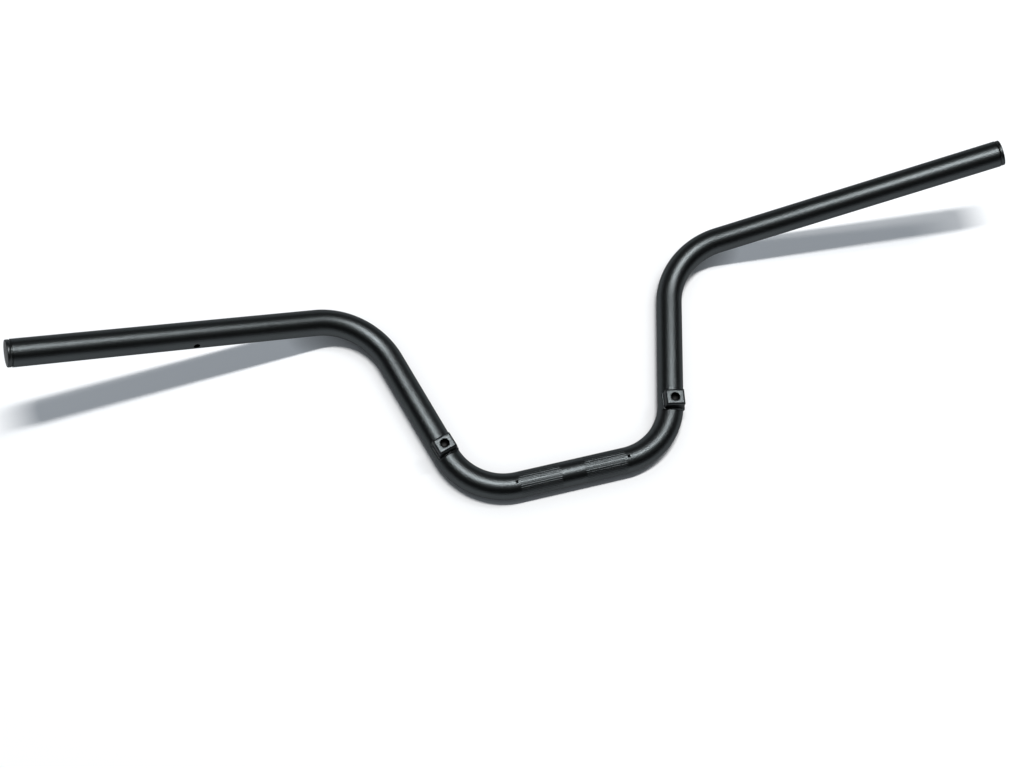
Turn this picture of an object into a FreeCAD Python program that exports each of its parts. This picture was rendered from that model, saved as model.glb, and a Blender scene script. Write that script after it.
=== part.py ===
import FreeCAD, Part
import math
import os

# A high-rise handlebar bent from one round tube, lying as it rests on a floor.
# X runs along the clamp section, +Y is the way the risers go, +Z is up.
# The origin is the centre of the clamp section. All sizes are in mm and degrees.

# Tube
tube_diameter = 22.2
tube_wall = 2.0

# Centreline, from the middle outwards
clamp_straight = 93.0
lower_bend_radius = 54.0
riser_angle = 74.0
riser_length = 96.0
upper_bend_radius = 57.0
grip_back_angle = 2.0
grip_rise_angle = 19.0
grip_length = 246.2

# Straight knurl on the two clamp seats
knurl_length = 36.0
knurl_plain_band = 20.0
knurl_grooves = 40
knurl_depth = 0.35
knurl_groove_angle = 90.0

# Punch marks on the crown, just outside the knurl
punch_from_knurl = 2.3
punch_diameter = 2.0
punch_depth = 0.9

# Hole for a switch peg in the left grip, measured from the tube's end
switch_hole_diameter = 5.3
switch_hole_from_end = 141.8
switch_hole_down_angle = 8.0

# Cross-brace lugs on the risers
lug_width = 16.4
lug_length = 13.8
lug_height = 9.0
lug_chamfer = 1.4
lug_hole_diameter = 6.8
lug_hole_chamfer = 0.5
lug_hole_floor = 1.0
weld_leg = 1.9
weld_root = 1.6

# Where each lug is welded: past the end of the lower bend, to the right of the riser's axis, and its turn
left_lug_station = 4.3
left_lug_shift = 0.4
left_lug_turn = 1.0
right_lug_station = 0.4
right_lug_shift = 0.8
right_lug_turn = 5.0

# End plugs
plug_rim_inset = 0.3
plug_rim_thickness = 3.0
plug_rim_chamfer = 0.7
plug_neck_length = 0.8
plug_seat_width = 0.7
plug_shank_length = 16.0
plug_shank_clearance = 0.1
plug_shank_taper = 1.0

# Worked out from the sizes above
tube_radius = tube_diameter / 2
bore_radius = tube_radius - tube_wall
plug_rim_radius = tube_radius - plug_rim_inset
plug_neck_radius = bore_radius + plug_seat_width
plug_shank_radius = bore_radius - plug_shank_clearance

origin = FreeCAD.Vector(0, 0, 0)
along_x = FreeCAD.Vector(1, 0, 0)
upward = FreeCAD.Vector(0, 0, 1)
left = -1
right = 1
lug_seats = {
    left: (left_lug_station, left_lug_shift, left_lug_turn),
    right: (right_lug_station, right_lug_shift, right_lug_turn),
}


def scaled(vector, length):
    return FreeCAD.Vector(vector).multiply(length)


def riser_heading(side):
    angle = math.radians(riser_angle)
    return FreeCAD.Vector(side * math.cos(angle), math.sin(angle), 0)


def grip_heading(side):
    back = math.radians(grip_back_angle)
    rise = math.radians(grip_rise_angle)
    level = math.cos(rise)
    return FreeCAD.Vector(side * level * math.cos(back), -level * math.sin(back), math.sin(rise))


def disc(centre, heading, radius):
    return Part.Face(Part.Wire(Part.makeCircle(radius, centre, heading)))


def bend(start, heading, new_heading, bend_radius):
    """The bend's axis, its centre on that axis, its angle in degrees and its far end."""
    axis = heading.cross(new_heading).normalize()
    inward = axis.cross(heading)
    centre = start + scaled(inward, bend_radius)
    turn = heading.getAngle(new_heading)
    reach = scaled(heading, bend_radius * math.sin(turn))
    end = start + reach + scaled(inward, bend_radius * (1 - math.cos(turn)))
    return axis, centre, math.degrees(turn), end


def centreline(side):
    """Where the four stretches of one half begin: lower bend, riser, upper bend, grip."""
    bend_start = scaled(along_x, side * clamp_straight / 2)
    heading = scaled(along_x, side)
    riser_start = bend(bend_start, heading, riser_heading(side), lower_bend_radius)[3]
    riser_end = riser_start + scaled(riser_heading(side), riser_length)
    grip_start = bend(riser_end, riser_heading(side), grip_heading(side), upper_bend_radius)[3]
    return bend_start, riser_start, riser_end, grip_start


def bent_rod(radius):
    """A solid round bar along the whole centreline, from straight runs and revolved bends."""
    middle = disc(scaled(along_x, -clamp_straight / 2), along_x, radius)
    runs = [middle.extrude(scaled(along_x, clamp_straight))]
    for side in (left, right):
        bend_start, riser_start, riser_end, grip_start = centreline(side)
        outward = scaled(along_x, side)
        riser = riser_heading(side)
        grip = grip_heading(side)
        axis, centre, turn, _ = bend(bend_start, outward, riser, lower_bend_radius)
        runs.append(disc(bend_start, outward, radius).revolve(centre, axis, turn))
        runs.append(disc(riser_start, riser, radius).extrude(scaled(riser, riser_length)))
        axis, centre, turn, _ = bend(riser_end, riser, grip, upper_bend_radius)
        runs.append(disc(riser_end, riser, radius).revolve(centre, axis, turn))
        runs.append(disc(grip_start, grip, radius).extrude(scaled(grip, grip_length)))
    return runs[0].multiFuse(runs[1:]).removeSplitter()


def knurl_cutters():
    """V-shaped grooves along the clamp axis, spaced evenly round both clamp seats."""
    flank = math.tan(math.radians(knurl_groove_angle / 2))
    top = tube_radius + knurl_depth
    half_width = (top - (tube_radius - knurl_depth)) * flank
    cutters = []
    for start in (knurl_plain_band / 2, -knurl_plain_band / 2 - knurl_length):
        corners = [
            FreeCAD.Vector(start, 0, tube_radius - knurl_depth),
            FreeCAD.Vector(start, half_width, top),
            FreeCAD.Vector(start, -half_width, top),
        ]
        groove = Part.Face(Part.makePolygon(corners + corners[:1]))
        groove = groove.extrude(scaled(along_x, knurl_length))
        for index in range(knurl_grooves):
            copy = groove.copy()
            copy.rotate(origin, along_x, index * 360 / knurl_grooves)
            cutters.append(copy)
    return cutters


def punch_cutters():
    """Cones that sink into the crown, one outside each clamp seat."""
    slope = punch_diameter / 2 / punch_depth
    above = punch_depth
    distance = knurl_plain_band / 2 + knurl_length + punch_from_knurl
    cones = []
    for side in (left, right):
        tip = FreeCAD.Vector(side * distance, 0, tube_radius - punch_depth)
        cones.append(Part.makeCone(0, slope * (punch_depth + above), punch_depth + above, tip, upward))
    return cones


def switch_hole_cutter():
    """A drill through the lower front wall of the left grip."""
    grip = grip_heading(left)
    grip_start = centreline(left)[3]
    centre = grip_start + scaled(grip, grip_length - switch_hole_from_end)
    front = upward.cross(grip).normalize()
    drill = FreeCAD.Rotation(grip, -switch_hole_down_angle).multVec(front)
    return Part.makeCylinder(switch_hole_diameter / 2, tube_diameter, centre, drill)


def handlebar_tube(rod):
    """The bent bar bored out, with its knurl, punch marks and switch hole."""
    tube = rod.cut(bent_rod(bore_radius))
    return tube.cut(knurl_cutters() + punch_cutters() + [switch_hole_cutter()])


def lug_place(side):
    """Places a lug drawn on a straight tube along Y with its crown up."""
    station, shift, turn = lug_seats[side]
    riser_start = centreline(side)[1]
    heading = riser_heading(side)
    across = heading.cross(upward)
    spot = riser_start + scaled(heading, station) + scaled(across, shift)
    with_riser = FreeCAD.Rotation(FreeCAD.Vector(0, 1, 0), heading)
    return FreeCAD.Placement(spot, FreeCAD.Rotation(upward, turn).multiply(with_riser))


def lug_block():
    """The lug's outline, chamfered round its top face, down to the tube's axis."""
    top = tube_radius + lug_height
    corner = FreeCAD.Vector(-lug_width / 2, -lug_length / 2, 0)
    block = Part.makeBox(lug_width, lug_length, top, corner)
    top_face = max(block.Faces, key=lambda face: face.CenterOfMass.z)
    return block.makeChamfer(lug_chamfer, top_face.Edges)


def lug_hole():
    """A blind bore with a chamfered mouth. It stops above the tube's crown."""
    radius = lug_hole_diameter / 2
    top = tube_radius + lug_height
    bottom = tube_radius + lug_hole_floor
    core = Part.makeCylinder(radius, top - bottom, scaled(upward, bottom))
    mouth_low = scaled(upward, top - lug_hole_chamfer)
    mouth = Part.makeCone(radius, radius + lug_hole_chamfer, lug_hole_chamfer, mouth_low)
    return core.fuse(mouth)


def lug(side, rod):
    """A tapped block whose saddle foot is cut to the tube."""
    block = lug_block().cut(lug_hole())
    block.Placement = lug_place(side)
    return block.cut(rod)


def solid_between(points):
    """A tetrahedron through four points."""
    faces = []
    for skipped in points:
        corners = [point for point in points if point is not skipped]
        faces.append(Part.Face(Part.makePolygon(corners + corners[:1])))
    return Part.Solid(Part.Shell(faces))


def weld(side, rod):
    """A flat fillet where the lug's four walls meet the tube, drawn into the tube and cut back to it."""
    half_width = lug_width / 2
    half_length = lug_length / 2
    crest = tube_radius + weld_leg
    drawn = 1 + weld_root / weld_leg
    wall_top = math.sqrt(crest**2 - half_width**2)
    seat = math.sqrt(tube_radius**2 - half_width**2)
    toe_angle = math.asin(half_width / tube_radius) + weld_leg / tube_radius
    beads = []
    for way in (-1, 1):
        end_wall = FreeCAD.Vector(0, way * half_length, 0)
        outward = FreeCAD.Vector(0, way, 0)
        depth = weld_leg + weld_root
        end_bead = Part.makeCone(crest, crest - depth, depth, end_wall, outward)
        corner = FreeCAD.Vector(-half_width, min(0, way * depth), 0)
        beads.append(end_bead.common(Part.makeBox(lug_width, depth, crest, end_wall + corner)))
        for end in (-1, 1):
            top = FreeCAD.Vector(way * half_width, end * half_length, wall_top)
            root = FreeCAD.Vector(way * half_width, end * half_length, 0)
            toe = FreeCAD.Vector(way * math.sin(toe_angle), 0, math.cos(toe_angle)).multiply(tube_radius)
            toe.y = end * half_length
            end_toe = FreeCAD.Vector(way * half_width, end * (half_length + weld_leg), seat)
            flank_low = top + scaled(toe - top, drawn)
            end_low = top + scaled(end_toe - top, drawn)
            beads.append(solid_between([top, flank_low, end_low, root]))
        flank = Part.Face(Part.makePolygon([top, flank_low, root, top]))
        beads.append(flank.extrude(FreeCAD.Vector(0, -lug_length, 0)))
    bead = beads[0].multiFuse(beads[1:])
    bead.Placement = lug_place(side)
    return bead.cut(rod)


def end_plug(side):
    """Rim, neck and shank turned about the grip's axis. The neck's shoulder seats on the tube's end."""
    rim_end = plug_neck_length + plug_rim_thickness
    outline = [
        (0, -plug_shank_length),
        (plug_shank_radius - plug_shank_taper, -plug_shank_length),
        (plug_shank_radius, plug_shank_taper - plug_shank_length),
        (plug_shank_radius, 0),
        (plug_neck_radius, 0),
        (plug_neck_radius, plug_neck_length),
        (plug_rim_radius, plug_neck_length),
        (plug_rim_radius, rim_end - plug_rim_chamfer),
        (plug_rim_radius - plug_rim_chamfer, rim_end),
        (0, rim_end),
    ]
    points = [FreeCAD.Vector(radius, 0, height) for radius, height in outline]
    plug = Part.Face(Part.makePolygon(points + points[:1])).revolve(origin, upward, 360)
    grip = grip_heading(side)
    tube_end = centreline(side)[3] + scaled(grip, grip_length)
    plug.Placement = FreeCAD.Placement(tube_end, FreeCAD.Rotation(upward, grip))
    return plug


rod = bent_rod(tube_radius)
nodes = {
    "handlebar_tube": handlebar_tube(rod),
    "left_lug": lug(left, rod),
    "right_lug": lug(right, rod),
    "left_lug_weld": weld(left, rod),
    "right_lug_weld": weld(right, rod),
    "left_end_plug": end_plug(left),
    "right_end_plug": end_plug(right),
}

os.makedirs("parts", exist_ok=True)
for name, shape in nodes.items():
    shape.exportStep(f"parts/{name}.step")
    print(name, len(shape.Solids), "solid", round(shape.Volume, 1), "mm3", shape.isValid())
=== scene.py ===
import math

import bmesh
import bpy
import numpy as np
from mathutils import Matrix, Vector


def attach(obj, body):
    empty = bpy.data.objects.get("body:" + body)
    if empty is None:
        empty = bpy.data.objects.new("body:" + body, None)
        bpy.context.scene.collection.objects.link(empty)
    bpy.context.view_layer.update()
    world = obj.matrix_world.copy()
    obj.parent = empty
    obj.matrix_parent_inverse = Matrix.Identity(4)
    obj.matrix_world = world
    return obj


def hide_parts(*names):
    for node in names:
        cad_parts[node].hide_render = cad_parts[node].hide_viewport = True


mm = 0.001
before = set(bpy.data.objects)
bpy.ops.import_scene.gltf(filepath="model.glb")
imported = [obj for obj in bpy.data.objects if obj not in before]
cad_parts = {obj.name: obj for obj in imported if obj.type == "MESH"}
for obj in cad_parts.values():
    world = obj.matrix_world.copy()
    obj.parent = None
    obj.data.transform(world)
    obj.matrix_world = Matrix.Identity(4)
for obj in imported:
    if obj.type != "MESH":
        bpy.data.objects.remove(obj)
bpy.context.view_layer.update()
print("frame loaded:", sorted(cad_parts))

# The bent tube, sizes in mm and degrees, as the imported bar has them
bar = {
    "radius": 11.1, "wall": 2.0, "clampStraight": 93.0, "lowerBend": 54.0, "riserAngle": 74.0,
    "riserLength": 96.0, "upperBend": 57.0, "gripBack": 2.0, "gripRise": 19.0, "gripLength": 246.2,
    "bendStep": 1.5, "endRound": 0.15, "endShare": 0.3, "sharpAngle": 18.0,
}
# a groove's half width is a share of the pitch
knurl = {"grooves": 40, "plainBand": 20.0, "length": 36.0, "depth": 0.12, "share": 0.24, "runOut": 0.7}
knurlStart = knurl["plainBand"] / 2
knurlEnd = knurlStart + knurl["length"]
punch = {"fromKnurl": 2.3, "radius": 1.3, "depth": 1.5, "rows": 19, "rowReach": 1.6}
switchHole = {
    "radius": 2.65, "fromEnd": 141.8, "downAngle": 8.0, "patch": 6.0, "rows": 9, "edge": 0.12,
    "skinShares": (0.3, 0.55, 0.78, 1.0), "edgeRings": ((0.3, 0.3), (0.0, 1.0)), "boreShares": (0.4, 0.75),
}


def unit(vector):
    return np.asarray(vector, float) / np.linalg.norm(vector)


def turned(vector, axis, angles):
    # the part across the axis turns, the part along it stays
    cosine = np.cos(angles)[:, None]
    sine = np.sin(angles)[:, None]
    return vector * cosine + np.cross(axis, vector) * sine + axis * (axis @ vector) * (1 - cosine)


def barStretches():
    # straight runs and arcs of the right half, each starting where the last one ends
    riserTurn = math.radians(bar["riserAngle"])
    back = math.radians(bar["gripBack"])
    rise = math.radians(bar["gripRise"])
    alongX = np.array([1.0, 0.0, 0.0])
    riser = np.array([math.cos(riserTurn), math.sin(riserTurn), 0.0])
    grip = np.array([math.cos(rise) * math.cos(back), -math.cos(rise) * math.sin(back), math.sin(rise)])
    upperTurn = math.acos(riser @ grip)
    return [
        (bar["clampStraight"] / 2, None, None),
        (bar["lowerBend"] * riserTurn, bar["lowerBend"], unit(np.cross(alongX, riser))),
        (bar["riserLength"], None, None),
        (bar["upperBend"] * upperTurn, bar["upperBend"], unit(np.cross(riser, grip))),
        (bar["gripLength"], None, None),
    ]


stretches = barStretches()
stretchEnds = np.cumsum([length for length, radius, axis in stretches])
halfLength = stretchEnds[-1]


def halfPath(distance):
    # point, heading and crown direction of the right half at each distance from the middle
    point = np.zeros(3)
    heading = np.array([1.0, 0.0, 0.0])
    crown = np.array([0.0, 0.0, 1.0])
    points, headings, crowns = (np.zeros((len(distance), 3)) for _ in range(3))
    begun = 0.0
    for length, radius, axis in stretches:
        here = (distance >= begun - 1e-9) & (distance <= begun + length + 1e-9)
        along = np.append(distance[here] - begun, length)
        if radius is None:
            stretchPoints = point + along[:, None] * heading
            stretchHeadings = np.tile(heading, (len(along), 1))
            stretchCrowns = np.tile(crown, (len(along), 1))
        else:
            centre = point + np.cross(axis, heading) * radius
            stretchPoints = centre + turned(point - centre, axis, along / radius)
            stretchHeadings = turned(heading, axis, along / radius)
            stretchCrowns = turned(crown, axis, along / radius)
        points[here] = stretchPoints[:-1]
        headings[here] = stretchHeadings[:-1]
        crowns[here] = stretchCrowns[:-1]
        point, heading, crown = stretchPoints[-1], stretchHeadings[-1], stretchCrowns[-1]
        begun += length
    return points, headings, crowns


def barPath(station):
    # the whole bar: the left half is the right one mirrored, with headings that keep running left to right
    points, headings, crowns = halfPath(np.abs(station))
    flip = np.where(station < 0, -1.0, 1.0)[:, None]
    mirror = np.concatenate([flip, np.ones_like(flip), np.ones_like(flip)], axis=1)
    points = points * mirror
    crowns = crowns * mirror
    headings = headings * mirror * flip
    return points, headings, crowns, np.cross(crowns, headings)


def meshPiece(name, points, faces, sharpAngle):
    # points in mm become a closed, smooth piece at the origin with its faces outwards
    mesh = bpy.data.meshes.new(name)
    mesh.from_pydata((np.asarray(points) * mm).tolist(), [], faces)
    build = bmesh.new()
    build.from_mesh(mesh)
    bmesh.ops.remove_doubles(build, verts=build.verts, dist=1e-7)
    bmesh.ops.recalc_face_normals(build, faces=build.faces)
    build.to_mesh(mesh)
    build.free()
    mesh.shade_smooth()
    mesh.set_sharp_from_angle(angle=math.radians(sharpAngle))
    piece = bpy.data.objects.new(name, mesh)
    bpy.context.scene.collection.objects.link(piece)
    return piece


def gridFaces(rows, columns, loopRows=False, skip=None):
    # four-cornered faces between neighbours of a grid whose columns run all the way round
    lastRow = rows if loopRows else rows - 1
    row, column = np.meshgrid(np.arange(lastRow), np.arange(columns), indexing="ij")
    nextRow = (row + 1) % rows
    nextColumn = (column + 1) % columns
    corners = [row * columns + column, row * columns + nextColumn,
               nextRow * columns + nextColumn, nextRow * columns + column]
    quads = np.stack(corners, axis=-1)
    if skip is not None:
        quads = quads[~skip]
    return quads.reshape(-1, 4)


def ringFaces(rings):
    # faces between neighbouring closed rings of vertex numbers
    rings = np.asarray(rings)
    following = np.roll(rings, -1, axis=1)
    quads = np.stack([rings[:-1], following[:-1], following[1:], rings[1:]], axis=-1)
    return quads.reshape(-1, 4)


def smoothStep(value, low, high):
    # eases from 0 to 1: three times the share's square less twice its cube
    share = np.clip((value - low) / (high - low), 0, 1)
    return share * share * (3 - 2 * share)


def circleDirections(first, second, angles):
    # directions round each point of a path: the first way at angle 0, the second a quarter turn on
    cosine = np.cos(angles)[None, :, None]
    sine = np.sin(angles)[None, :, None]
    return first[:, None, :] * cosine + second[:, None, :] * sine


def skinRadius(station, angle):
    # tube radius less the knurl's hollow grooves, which are parabolas, and the punch marks' cones
    away = np.abs(station)
    runOut = knurl["runOut"]
    band = smoothStep(away, knurlStart, knurlStart + runOut) * smoothStep(-away, -knurlEnd, runOut - knurlEnd)
    phase = angle * knurl["grooves"] / (2 * math.pi)
    fromGroove = np.abs(phase - np.round(phase))
    groove = np.clip(1 - (fromGroove / knurl["share"]) ** 2, 0, 1)
    wrapped = (angle + math.pi) % (2 * math.pi) - math.pi
    fromPunch = np.hypot(away - knurlEnd - punch["fromKnurl"], bar["radius"] * wrapped) / punch["radius"]
    cone = punch["depth"] * np.clip(1 - fromPunch, 0, 1)
    return bar["radius"] - knurl["depth"] * groove * band - cone


def bendSteps(length):
    return int(length / bar["bendStep"]) + 1


def bothSides(rows):
    return np.unique(np.concatenate([-rows, rows]))


def tubeRows():
    # stations along the outside and the bore, dense where the tube bends, is knurled, punched or drilled
    clampEnd, lowerEnd, riserEnd, upperEnd, gripEnd = stretchEnds
    runOut = knurl["runOut"]
    mark = knurlEnd + punch["fromKnurl"]
    reach = punch["rowReach"]
    tubeEnd = gripEnd - bar["endRound"]
    holeStation = gripEnd - switchHole["fromEnd"]
    holeRows = holeStation + np.linspace(-switchHole["patch"], switchHole["patch"], switchHole["rows"])
    outer = np.concatenate([
        np.linspace(0, knurlStart, 3),
        np.linspace(knurlStart, knurlStart + runOut, 4),
        np.linspace(knurlStart + runOut, knurlEnd - runOut, 9),
        np.linspace(knurlEnd - runOut, knurlEnd, 4),
        np.linspace(mark - reach, mark + reach, punch["rows"]),
        np.linspace(mark + reach, lowerEnd, bendSteps(lowerEnd - mark)),
        np.linspace(lowerEnd, riserEnd, 7),
        np.linspace(riserEnd, upperEnd, bendSteps(upperEnd - riserEnd)),
        np.linspace(upperEnd, holeRows[0], 4),
        holeRows,
        np.linspace(holeRows[-1], tubeEnd, 6),
    ])
    bore = np.concatenate([
        [0.0], np.linspace(clampEnd, lowerEnd, 24), np.linspace(riserEnd, upperEnd, 26), holeRows, [tubeEnd],
    ])
    return bothSides(np.unique(np.round(outer, 4))), bothSides(np.unique(np.round(bore, 4)))


def drilledPatch(points, rowStation, angles, outerCount):
    # the switch hole: rings that shrink from the block's square edge to a circle, go through the wall,
    # and widen again to the block's edge in the bore
    holeStation = switchHole["fromEnd"] - halfLength
    centres, headings, crowns, sides = barPath(np.array([holeStation]))
    centre, heading, crown, side = centres[0], headings[0], crowns[0], sides[0]
    level = unit(np.cross(heading, [0.0, 0.0, 1.0]))
    drill = turned(level, heading, np.array([-math.radians(switchHole["downAngle"])]))[0]
    drillAngle = math.atan2(drill @ side, drill @ crown) % (2 * math.pi)
    across = np.cross(heading, drill)
    fromDrill = (angles - drillAngle + math.pi) % (2 * math.pi) - math.pi
    reach = math.asin(switchHole["patch"] / bar["radius"])
    columns = np.flatnonzero(np.abs(fromDrill) <= reach)
    columns = columns[np.argsort(fromDrill[columns])]
    lift = bar["radius"] * np.sin(fromDrill)
    turnSign = np.sign(across @ (crown * -math.sin(drillAngle) + side * math.cos(drillAngle)))
    inPatch = np.abs(rowStation - holeStation) <= switchHole["patch"] + 1e-3
    blocks = []
    for isOuter in (True, False):
        rows = np.flatnonzero(inPatch & ((np.arange(len(rowStation)) < outerCount) == isOuter))
        rows = rows[np.argsort(rowStation[rows])]
        edge = [(rows[0], c) for c in columns] + [(r, columns[-1]) for r in rows[1:]]
        edge += [(rows[-1], c) for c in columns[-2::-1]] + [(r, columns[0]) for r in rows[-2:0:-1]]
        blocks.append((rows, np.array(edge)))
    skip = np.zeros((len(rowStation), len(angles)), bool)
    for rows, edge in blocks:
        skip[np.ix_(np.sort(rows)[:-1], columns[:-1])] = True
    outerEdge, innerEdge = (edge for rows, edge in blocks)
    rings = [outerEdge[:, 0] * len(angles) + outerEdge[:, 1]]
    added = []

    def wallHeight(radius, aside):
        return np.sqrt(radius ** 2 - aside ** 2)

    def addRing(along, aside, height):
        ring = centre + along[:, None] * heading + aside[:, None] * across + height[:, None] * drill
        rings.append(len(points) + sum(len(a) for a in added) + np.arange(len(ring)))
        added.append(ring)

    edgeAlong = rowStation[outerEdge[:, 0]] - holeStation
    edgeAside = turnSign * lift[outerEdge[:, 1]]
    bearing = np.arctan2(edgeAside, edgeAlong)
    circle = np.stack([np.cos(bearing), np.sin(bearing)])
    rim = switchHole["radius"] + switchHole["edge"]
    for share in switchHole["skinShares"]:
        along = edgeAlong + (rim * circle[0] - edgeAlong) * share
        aside = edgeAside + (rim * circle[1] - edgeAside) * share
        addRing(along, aside, wallHeight(bar["radius"], aside))
    boreRadius = bar["radius"] - bar["wall"]
    for widen, sink in switchHole["edgeRings"]:
        ringRadius = switchHole["radius"] + widen * switchHole["edge"]
        aside = ringRadius * circle[1]
        addRing(ringRadius * circle[0], aside, wallHeight(bar["radius"], aside) - sink * switchHole["edge"])
    aside = switchHole["radius"] * circle[1]
    addRing(switchHole["radius"] * circle[0], aside, wallHeight(boreRadius, aside))
    innerAside = edgeAside * boreRadius / bar["radius"]
    for share in switchHole["boreShares"]:
        along = rim * circle[0] + (edgeAlong - rim * circle[0]) * share
        aside = rim * circle[1] + (innerAside - rim * circle[1]) * share
        addRing(along, aside, wallHeight(boreRadius, aside))
    rings.append(innerEdge[:, 0] * len(angles) + innerEdge[:, 1])
    return np.concatenate(added), ringFaces(rings), skip


def makeTube():
    # a circle of varying radius carried along the bar, over both ends and back through the bore
    grooveOffsets = np.array([0.0, 0.5, 1.0]) * knurl["share"]
    grooveOffsets = np.concatenate([grooveOffsets, 1 - grooveOffsets[:0:-1]])
    turns = (np.arange(knurl["grooves"])[:, None] + grooveOffsets).ravel() / knurl["grooves"]
    angles = 2 * math.pi * turns
    outer, bore = tubeRows()
    radius = bar["radius"]
    inner = radius - bar["wall"]
    roundOff = bar["endRound"]
    lip = bar["endShare"] * roundOff
    endStation = halfLength - np.array([lip, 0.0, 0.0, lip])
    endRadius = np.array([radius - lip, radius - roundOff, inner + roundOff, inner + lip])
    rowStation = np.concatenate([outer, endStation, bore[::-1], -endStation[::-1]])
    rowRadius = np.concatenate([
        np.full(len(outer), radius), endRadius, np.full(len(bore), inner), endRadius[::-1],
    ])
    points, headings, crowns, sides = barPath(rowStation)
    skin = np.repeat(rowRadius[:, None], len(angles), axis=1)
    skin[:len(outer)] = skinRadius(outer[:, None], angles[None, :])
    around = circleDirections(crowns, sides, angles)
    grid = (points[:, None, :] + skin[:, :, None] * around).reshape(-1, 3)
    patch, patchFaces, skip = drilledPatch(grid, rowStation, angles, len(outer))
    faces = np.concatenate([gridFaces(len(rowStation), len(angles), True, skip), patchFaces])
    return meshPiece("bentTube", np.concatenate([grid, patch]), faces.tolist(), bar["sharpAngle"])


tube = makeTube()
print("bent tube:", len(tube.data.polygons), "faces")

# Lugs, placed by their distance past the lower bend's end, in mm
lug = {
    "width": 16.4, "length": 13.8, "height": 9.0, "chamfer": 1.4, "corner": 0.7, "cornerShrink": 0.4,
    "cornerLeast": 0.15, "soften": 0.18, "lipShare": 0.3, "sink": 0.5, "sharpAngle": 40.0,
    "hole": 3.4, "holeChamfer": 0.5, "holeFloor": 1.0, "drillPoint": 2.0, "mouthOut": 0.1, "mouthIn": 0.04,
    "mouthDrop": 0.08, "threadPitch": 1.25, "threadDepth": 0.45, "threadRunOut": 0.4, "threadRows": 46,
    "station": {"left": 4.3, "right": 0.4}, "shift": {"left": 0.4, "right": 0.8},
    "turn": {"left": 1.0, "right": 5.0}, "wallShares": (0.35, 0.7), "topShares": (0.35, 0.7, 1.0),
}
riserStarts, riserHeadings, _ = halfPath(np.array([stretchEnds[1] + 0.001]))
riserStart = riserStarts[0]
riserHeading = riserHeadings[0]


def roundedRectangle(halfX, halfY, corner, perEdge=14, perCorner=6):
    # straight edges and quarter circles, anticlockwise from the lower right corner's end
    centres = np.array([[1, -1], [1, 1], [-1, 1], [-1, -1]]) * [halfX - corner, halfY - corner]
    quarter = np.linspace(0, math.pi / 2, perCorner)
    stretch = np.linspace(0, 1, perEdge + 2)[1:-1, None]
    parts = []
    for index in range(4):
        start = (index - 1) * math.pi / 2
        end = start + math.pi / 2
        arc = centres[index] + corner * np.stack([np.cos(start + quarter), np.sin(start + quarter)], axis=1)
        nextStart = centres[(index + 1) % 4] + corner * np.array([math.cos(end), math.sin(end)])
        parts += [arc, arc[-1] + (nextStart - arc[-1]) * stretch]
    return np.concatenate(parts)


def lugFrame(side):
    # the lug's spot by the riser's axis, its way across and its way along, turned as it is welded on
    mirror = np.array([-1.0 if side == "left" else 1.0, 1.0, 1.0])
    upward = np.array([0.0, 0.0, 1.0])
    heading = riserHeading * mirror
    beside = np.cross(heading, upward)
    spot = riserStart * mirror + heading * lug["station"][side] + beside * lug["shift"][side]
    along = turned(heading, upward, np.radians([lug["turn"][side]]))[0]
    return spot, np.cross(along, upward), along


def crownHeight(flat):
    # height of the tube's skin over points in the floor plan: straight riser, or lower bend before it
    start = riserStart[:2]
    heading = riserHeading[:2]
    mirrored = np.stack([np.abs(flat[:, 0]), flat[:, 1]], axis=1)
    past = (mirrored - start) @ heading
    fromRiser = np.abs((mirrored - start) @ np.array([-heading[1], heading[0]]))
    bendCentre = np.array([bar["clampStraight"] / 2, bar["lowerBend"]])
    fromBend = np.abs(np.linalg.norm(mirrored - bendCentre, axis=1) - bar["lowerBend"])
    away = np.where(past >= 0, fromRiser, fromBend)
    return np.sqrt(np.clip(bar["radius"] ** 2 - away ** 2, 0.01, None))


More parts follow.
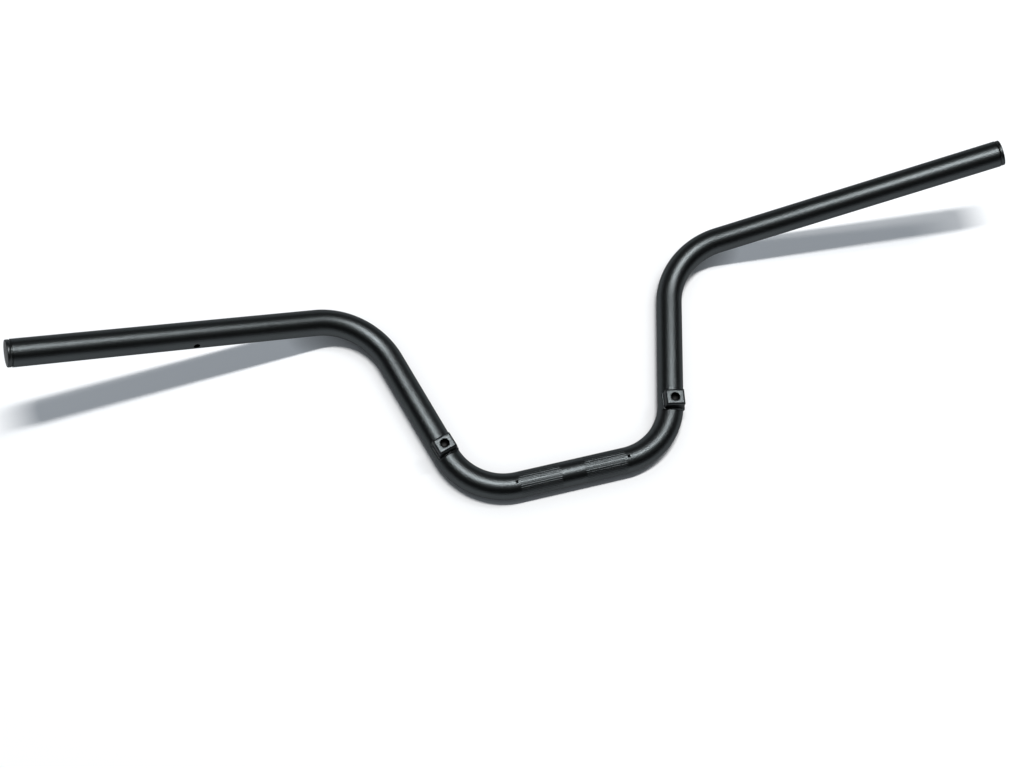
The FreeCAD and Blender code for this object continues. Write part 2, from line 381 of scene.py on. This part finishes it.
def makeLug(side):
    # a rounded outline carried up from the saddle, over the chamfer, across the top and down the tapped hole
    spot, across, along = lugFrame(side)
    halfX = lug["width"] / 2
    halfY = lug["length"] / 2
    top = bar["radius"] + lug["height"]
    chamfer = lug["chamfer"]
    soft = lug["soften"]
    lip = lug["lipShare"] * soft

    def outline(inset):
        corner = max(lug["corner"] - lug["cornerShrink"] * inset, lug["cornerLeast"])
        return roundedRectangle(halfX - inset, halfY - inset, corner)

    def place(flat, height):
        world = spot + flat[:, :1] * across + flat[:, 1:] * along
        world[:, 2] = height
        return world

    foot = outline(0.0)
    footHeight = crownHeight(place(foot, 0.0)[:, :2]) - lug["sink"]
    rows = [place(foot * 0.0, footHeight.min()), place(foot, footHeight)]
    wallTop = top - chamfer
    for share in lug["wallShares"]:
        rows.append(place(foot, footHeight + (wallTop - footHeight) * share))
    profile = [(0.0, wallTop - soft), (lip, wallTop + lip), (chamfer - lip, top - lip), (chamfer + soft, top)]
    rows += [place(outline(inset), height) for inset, height in profile]
    face = outline(chamfer + soft)
    bearing = np.arctan2(face[:, 1], face[:, 0])
    circle = np.stack([np.cos(bearing), np.sin(bearing)], axis=1)
    mouth = lug["hole"] + lug["holeChamfer"]
    for share in lug["topShares"]:
        rows.append(place(face + (circle * (mouth + lug["mouthOut"]) - face) * share, top))
    rows.append(place(circle * (mouth - lug["mouthIn"]), top - lug["mouthDrop"]))
    tip = bar["radius"] + lug["holeFloor"]
    bottom = tip + lug["drillPoint"]
    for height in np.linspace(top - lug["holeChamfer"], bottom, lug["threadRows"]):
        turn = (top - height) / lug["threadPitch"] - bearing / (2 * math.pi)
        flank = 1 - 2 * np.abs(turn - np.floor(turn) - 0.5)
        radius = lug["hole"] + lug["threadDepth"] * flank * (height > bottom + lug["threadRunOut"])
        rows.append(place(circle * radius[:, None], height))
    rows.append(place(circle * 0.0, tip))
    faces = gridFaces(len(rows), len(foot)).tolist()
    return meshPiece(side + "Lug", np.concatenate(rows), faces, lug["sharpAngle"])


# Weld beads round the lugs' feet, in mm
bead = {
    "flank": 1.7, "end": 1.2, "corner": 1.6, "offset": 0.3, "sink": 0.15, "ripples": 46, "ripple": 0.14,
    "rippleLean": 0.3, "rippleMean": 0.6, "wander": 0.06, "perEdge": 40, "perCorner": 12, "columns": 24,
    "flankFrom": 0.3, "flankTo": 0.9, "sharpAngle": 70.0,
}


def makeWeld(side):
    # a wavering circle carried round the lug's foot, just over the tube's skin
    spot, across, along = lugFrame(side)
    halfX = lug["width"] / 2 + bead["offset"]
    halfY = lug["length"] / 2 + bead["offset"]
    flat = roundedRectangle(halfX, halfY, bead["corner"], bead["perEdge"], bead["perCorner"])
    path = spot + flat[:, :1] * across + flat[:, 1:] * along
    path[:, 2] = crownHeight(path[:, :2]) - bead["sink"]
    ahead = np.roll(path, -1, axis=0) - np.roll(path, 1, axis=0)
    ahead /= np.linalg.norm(ahead, axis=1)[:, None]
    length = np.cumsum(np.linalg.norm(path - np.roll(path, 1, axis=0), axis=1))
    share = length / length[-1]
    upward = np.array([0.0, 0.0, 1.0]) - ahead * ahead[:, 2:]
    upward /= np.linalg.norm(upward, axis=1)[:, None]
    sideways = np.cross(ahead, upward)
    section = np.linspace(0, 2 * math.pi, bead["columns"] + 1)[:-1]
    phase = share[:, None] * bead["ripples"] + bead["rippleLean"] * np.cos(section)[None, :]
    ripple = np.abs(np.sin(math.pi * phase)) - bead["rippleMean"]
    lap = 2 * math.pi * share
    wander = np.sin(5 * lap + 1.3) + np.sin(11 * lap + 0.4)  # two slow waves that close on themselves
    flankness = smoothStep(np.abs(sideways @ across), bead["flankFrom"], bead["flankTo"])
    thickness = bead["end"] + (bead["flank"] - bead["end"]) * flankness
    radius = thickness[:, None] + bead["ripple"] * ripple + bead["wander"] * wander[:, None]
    around = circleDirections(upward, sideways, section)
    grid = (path[:, None, :] + radius[:, :, None] * around).reshape(-1, 3)
    faces = gridFaces(len(path), len(section), True).tolist()
    return meshPiece(side + "Weld", grid, faces, bead["sharpAngle"])


# End plugs, in mm
plug = {
    "rim": 10.8, "rimThickness": 3.0, "rimRound": 0.7, "neck": 9.8, "neckLength": 0.8, "shank": 9.0,
    "shankLength": 16.0, "taper": 1.0, "lead": 0.2, "dome": 0.24975, "columns": 128, "sharpAngle": 45.0,
    "roundRows": 7, "faceShares": (0.75, 0.5, 0.25, 0.0),
}


def makePlug(side):
    # the plug's outline turned about the grip's axis
    rimEnd = plug["neckLength"] + plug["rimThickness"]
    quarter = np.linspace(0, math.pi / 2, plug["roundRows"])
    edge = plug["rim"] - plug["rimRound"]
    roundEdge = np.stack([edge + plug["rimRound"] * np.cos(quarter),
                          rimEnd - plug["rimRound"] + plug["rimRound"] * np.sin(quarter)], axis=1)
    faceRadius = edge * np.array(plug["faceShares"])
    face = np.stack([faceRadius, rimEnd + plug["dome"] * (1 - (faceRadius / edge) ** 2)], axis=1)
    outline = np.concatenate([
        [[0.0, -plug["shankLength"]], [plug["shank"] - plug["taper"], -plug["shankLength"]],
         [plug["shank"], plug["taper"] - plug["shankLength"]], [plug["shank"], 0.0], [plug["neck"], 0.0],
         [plug["neck"], plug["neckLength"]], [plug["rim"] - plug["lead"], plug["neckLength"]],
         [plug["rim"], plug["neckLength"] + plug["lead"]]],
        roundEdge, face,
    ])
    sign = -1.0 if side == "left" else 1.0
    ends, headings, crowns, sides = barPath(np.array([sign * halfLength]))
    outward = headings[0] * sign
    turn = np.linspace(0, 2 * math.pi, plug["columns"] + 1)[:-1]
    around = circleDirections(crowns, sides, turn)
    grid = ends[0] + outline[:, None, 1:] * outward + outline[:, None, :1] * around
    faces = gridFaces(len(outline), len(turn)).tolist()
    return meshPiece(side + "Plug", grid.reshape(-1, 3), faces, plug["sharpAngle"])


pieces = {"handlebar_tube": tube}
for side in ("left", "right"):
    pieces[side + "_lug"] = makeLug(side)
    pieces[side + "_lug_weld"] = makeWeld(side)
    pieces[side + "_end_plug"] = makePlug(side)
print("lugs, welds and plugs made:", len(pieces) - 1)

# Finishes: reflectance facing and at the edge, roughness, and the peel's size (1/m) and depth (m)
satinPaint = {
    "dark": (0.047, 0.052, 0.054), "light": (0.055, 0.061, 0.063), "edge": (0.5, 0.5, 0.5),
    "rough": (0.33, 0.36), "peelScale": 8000.0, "peelDepth": 0.000062,
}
plugPlastic = {
    "dark": (0.043, 0.047, 0.048), "light": (0.051, 0.055, 0.056), "edge": (0.5, 0.5, 0.5),
    "rough": (0.34, 0.39), "peelScale": 7000.0, "peelDepth": 0.000062,
}
# a darker finish for the tapped hole's faces, which paints shade into the hole
paintedHoleShade = {
    "dark": (0.006, 0.006, 0.006), "light": (0.014, 0.014, 0.014), "edge": (0.3, 0.3, 0.3),
    "rough": (0.42, 0.50), "peelScale": 5000.0, "peelDepth": 0.00006,
}
toneNoise = {"scale": 28.0, "detail": 3.0}
glossNoise = {"scale": 420.0, "detail": 2.0}
peelDetail = 2.0


def noiseOf(nodes, links, place, scale, detail):
    # soft noise on object coordinates, from 0 to 1
    texture = nodes.new("ShaderNodeTexNoise")
    texture.inputs["Scale"].default_value = scale
    texture.inputs["Detail"].default_value = detail
    links.new(place.outputs["Object"], texture.inputs["Vector"])
    return texture.outputs["Fac"]


def blackFinish(name, look):
    # a black skin with no colour under its gloss: tone and gloss drift, and a fine peel spreads the shine
    material = bpy.data.materials.new(name)
    material.use_nodes = True
    nodes, links = material.node_tree.nodes, material.node_tree.links
    shader = nodes["Principled BSDF"]
    shader.inputs["Metallic"].default_value = 1.0
    shader.inputs["Specular Tint"].default_value = look["edge"] + (1.0,)
    place = nodes.new("ShaderNodeTexCoord")
    tone = nodes.new("ShaderNodeMix")
    tone.data_type = "RGBA"
    tone.inputs["A"].default_value = look["dark"] + (1.0,)
    tone.inputs["B"].default_value = look["light"] + (1.0,)
    links.new(noiseOf(nodes, links, place, **toneNoise), tone.inputs["Factor"])
    links.new(tone.outputs["Result"], shader.inputs["Base Color"])
    gloss = nodes.new("ShaderNodeMapRange")
    gloss.inputs["To Min"].default_value, gloss.inputs["To Max"].default_value = look["rough"]
    links.new(noiseOf(nodes, links, place, **glossNoise), gloss.inputs["Value"])
    links.new(gloss.outputs["Result"], shader.inputs["Roughness"])
    bump = nodes.new("ShaderNodeBump")
    bump.inputs["Strength"].default_value = 1.0
    bump.inputs["Distance"].default_value = look["peelDepth"]
    links.new(noiseOf(nodes, links, place, look["peelScale"], peelDetail), bump.inputs["Height"])
    links.new(bump.outputs["Normal"], shader.inputs["Normal"])
    return material


paint = blackFinish("satinBlackPaint", satinPaint)
plastic = blackFinish("blackPlugPlastic", plugPlastic)
thread = blackFinish("paintedHoleShade", paintedHoleShade)


def darkenHole(piece, side):
    # the faces inside the tapped hole, found by their distance from its axis, take a darker finish that
    # paints shade into the hole
    mesh = piece.data
    centres = np.zeros(len(mesh.polygons) * 3)
    mesh.polygons.foreach_get("center", centres)
    centres = centres.reshape(-1, 3) / mm
    spot = lugFrame(side)[0]
    fromAxis = np.hypot(centres[:, 0] - spot[0], centres[:, 1] - spot[1])
    isUnderTop = centres[:, 2] < bar["radius"] + lug["height"] - lug["holeChamfer"]
    isOverFoot = centres[:, 2] > bar["radius"] + lug["holeFloor"] / 2
    isHole = isUnderTop & isOverFoot & (fromAxis < lug["hole"] + lug["threadDepth"])
    mesh.materials.append(thread)
    mesh.polygons.foreach_set("material_index", isHole.astype(np.int32))


for node, piece in pieces.items():
    isPlug = node.endswith("plug")
    piece.data.materials.append(plastic if isPlug else paint)
    if node.endswith("lug"):
        darkenHole(piece, node.split("_")[0])
    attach(piece, "root")
    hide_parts(node)
print("finishes set")

# Floor, light and camera, in metres, watts and degrees
# the floor's near glow and its tint are painted fill light; crevice and creviceFall shape its painted contact
# shade by the bar
studio = {
    "floorSize": 60.0, "floorColour": (0.69, 0.69, 0.69), "glowColour": (0.83, 0.91, 1.0), "paintedFillGlow": 0.30,
    "crevice": 0.022, "creviceFall": 2.0, "creviceSamples": 8, "farGlow": 0.95, "farFrom": 0.0, "farTo": 4.0,
    "bandFrom": 0.0, "bandTo": 0.1, "aimY": 0.1,
    "keyPlace": (0.06, 0.4116, 2.839), "keySize": (1.0, 0.14), "keyPower": 82.0,
    "stripPlace": (1.25, 0.57, 2.78), "stripSize": (1.2, 0.2), "stripPower": 22.0,
    "backPlace": (0.0, 2.6, 0.75), "backSize": (3.4, 1.1), "backPower": 1.2,
}
view = {
    "target": (-0.02909, 0.08781, 0.0), "distance": 1.19394, "azimuth": -25.23, "elevation": 68.986,
    "roll": 11.503, "lens": 49.315, "sensor": 36.0,
}


def mathNode(nodes, links, operation, first, second):
    # each input is a number or another node's output
    node = nodes.new("ShaderNodeMath")
    node.operation = operation
    for socket, value in zip(node.inputs, (first, second)):
        if isinstance(value, float):
            socket.default_value = value
        else:
            links.new(value, socket)
    return node.outputs["Value"]


def seenRays(nodes, links):
    # 1 for what is seen directly, in a gloss or through glass, 0 for light that falls on a matt surface
    path = nodes.new("ShaderNodeLightPath")
    seen = mathNode(nodes, links, "MAXIMUM", path.outputs["Is Camera Ray"], path.outputs["Is Glossy Ray"])
    return mathNode(nodes, links, "MAXIMUM", seen, path.outputs["Is Transmission Ray"])


def smoothRange(nodes, links, value, limits, results):
    # eases a value between two limits to two results
    ramp = nodes.new("ShaderNodeMapRange")
    ramp.interpolation_type = "SMOOTHSTEP"
    ramp.inputs["From Min"].default_value, ramp.inputs["From Max"].default_value = limits
    ramp.inputs["To Min"].default_value, ramp.inputs["To Max"].default_value = results
    links.new(value, ramp.inputs["Value"])
    return ramp.outputs["Result"]


def makeFloor():
    # white where it is lit, with a dim glow that paints the room's fill light and fades to a painted contact
    # shade where the bar lies close
    half = studio["floorSize"] / 2
    level = -bar["radius"] * mm
    mesh = bpy.data.meshes.new("studioFloor")
    corners = [(-half, -half, level), (half, -half, level), (half, half, level), (-half, half, level)]
    mesh.from_pydata(corners, [], [(0, 1, 2, 3)])
    floor = bpy.data.objects.new("studioFloor", mesh)
    bpy.context.scene.collection.objects.link(floor)
    material = bpy.data.materials.new("paleFloor")
    material.use_nodes = True
    nodes, links = material.node_tree.nodes, material.node_tree.links
    shader = nodes["Principled BSDF"]
    shader.inputs["Roughness"].default_value = 1.0
    shader.inputs["Specular IOR Level"].default_value = 0.0
    shader.inputs["Emission Color"].default_value = studio["glowColour"] + (1.0,)
    shader.inputs["Base Color"].default_value = studio["floorColour"] + (1.0,)
    crevice = nodes.new("ShaderNodeAmbientOcclusion")
    crevice.samples = studio["creviceSamples"]
    crevice.inputs["Distance"].default_value = studio["crevice"]
    # the glow falls off near the bar: painted contact shade
    openness = mathNode(nodes, links, "POWER", crevice.outputs["AO"], studio["creviceFall"])
    near = mathNode(nodes, links, "MULTIPLY", openness, studio["paintedFillGlow"])
    away = nodes.new("ShaderNodeVectorMath")
    away.operation = "LENGTH"
    links.new(nodes.new("ShaderNodeTexCoord").outputs["Object"], away.inputs[0])
    limits = (studio["farFrom"], studio["farTo"])
    far = smoothRange(nodes, links, away.outputs["Value"], limits, (0.0, studio["farGlow"]))
    glow = mathNode(nodes, links, "ADD", near, far)
    seen = mathNode(nodes, links, "MULTIPLY", glow, seenRays(nodes, links))
    links.new(seen, shader.inputs["Emission Strength"])
    mesh.materials.append(material)


def makeWorld():
    # a white band at the horizon under a dark ceiling
    world = bpy.data.worlds.new("studioWorld")
    world.use_nodes = True
    nodes, links = world.node_tree.nodes, world.node_tree.links
    height = nodes.new("ShaderNodeSeparateXYZ")
    links.new(nodes.new("ShaderNodeTexCoord").outputs["Generated"], height.inputs["Vector"])
    limits = (studio["bandFrom"], studio["bandTo"])
    band = smoothRange(nodes, links, height.outputs["Z"], limits, (1.0, 0.0))
    seen = mathNode(nodes, links, "MULTIPLY", band, seenRays(nodes, links))
    nodes["Background"].inputs["Color"].default_value = (1.0, 1.0, 1.0, 1.0)
    links.new(seen, nodes["Background"].inputs["Strength"])
    bpy.context.scene.world = world


def makeLamp(name, place, size, power):
    # a rectangle whose long side stays along X, because it is aimed straight across the bar
    lamp = bpy.data.lights.new(name, "AREA")
    lamp.shape = "RECTANGLE"
    lamp.size, lamp.size_y = size
    lamp.energy = power
    holder = bpy.data.objects.new(name, lamp)
    holder.location = place
    aim = Vector((place[0], studio["aimY"], 0.0)) - holder.location
    holder.rotation_euler = aim.to_track_quat("-Z", "Y").to_euler()
    bpy.context.scene.collection.objects.link(holder)


def makeCamera():
    # stands off the target by azimuth, elevation and distance, then rolls about its own line of sight
    azimuth, elevation, roll = (math.radians(view[key]) for key in ("azimuth", "elevation", "roll"))
    back = Vector((math.sin(azimuth) * math.cos(elevation), -math.cos(azimuth) * math.cos(elevation),
                   math.sin(elevation)))
    level = (-back).cross(Vector((0, 0, 1))).normalized()
    upright = level.cross(-back)
    right = level * math.cos(roll) + upright * math.sin(roll)
    up = upright * math.cos(roll) - level * math.sin(roll)
    lens = bpy.data.cameras.new("photoView")
    lens.sensor_width = view["sensor"]
    lens.lens = view["lens"]
    camera = bpy.data.objects.new("photoView", lens)
    turn = Matrix((right, up, back)).transposed().to_4x4()
    camera.matrix_world = Matrix.Translation(Vector(view["target"]) + back * view["distance"]) @ turn
    bpy.context.scene.collection.objects.link(camera)
    bpy.context.scene.camera = camera


makeFloor()
makeWorld()
for name in ("key", "strip", "back"):
    makeLamp(name + "Lamp", studio[name + "Place"], studio[name + "Size"], studio[name + "Power"])
makeCamera()
bpy.context.scene.view_settings.view_transform = "Standard"
print("studio set")
